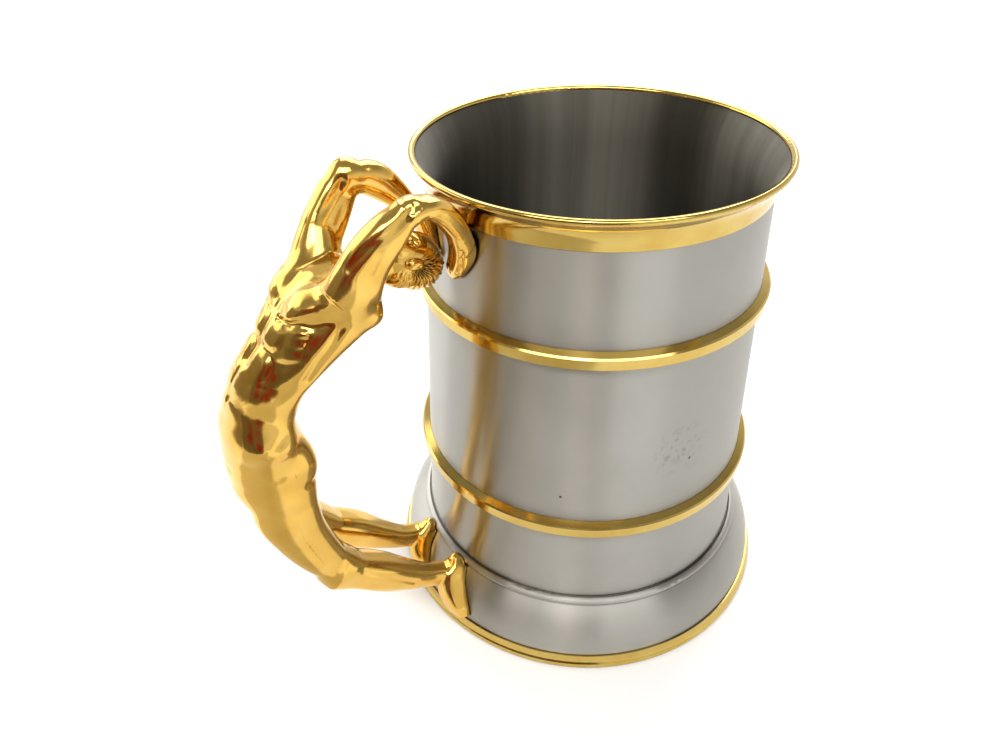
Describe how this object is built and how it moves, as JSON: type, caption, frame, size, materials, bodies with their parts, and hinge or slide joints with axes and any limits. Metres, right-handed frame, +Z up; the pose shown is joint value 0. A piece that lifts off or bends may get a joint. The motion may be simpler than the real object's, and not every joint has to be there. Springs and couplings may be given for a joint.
{
  "type": "pewter tankard",
  "caption": "Straight-sided tapered tankard with flared foot, gilt rim, hoops and foot ring, and an arched gilt figure as its handle.",
  "frame": {"origin": "on the surface it stands on, at the drum's axis", "axes": "+Z up through the mouth, -X out through the middle of the handle, mirror-symmetric about the XZ plane"},
  "size_m": [0.1466, 0.106, 0.1242],
  "materials": {
    "pewter_satin": "turned satin pewter with fine rings round the axis",
    "pewter_floor": "plain satin pewter, seen only through the mouth and from below",
    "gilt_ring": "polished gilding on turned rings",
    "gilt_figure": "bright polished gilding on a casting"
  },
  "bodies": {
    "root": {"drum_wall": "pewter_satin", "floor_disc": "pewter_floor", "foot_skirt": "pewter_satin", "foot_ring": "gilt_ring", "lip_band": "gilt_ring", "upper_hoop": "gilt_ring", "lower_hoop": "gilt_ring", "figure_handle": "gilt_figure"}
  },
  "joints": []
}
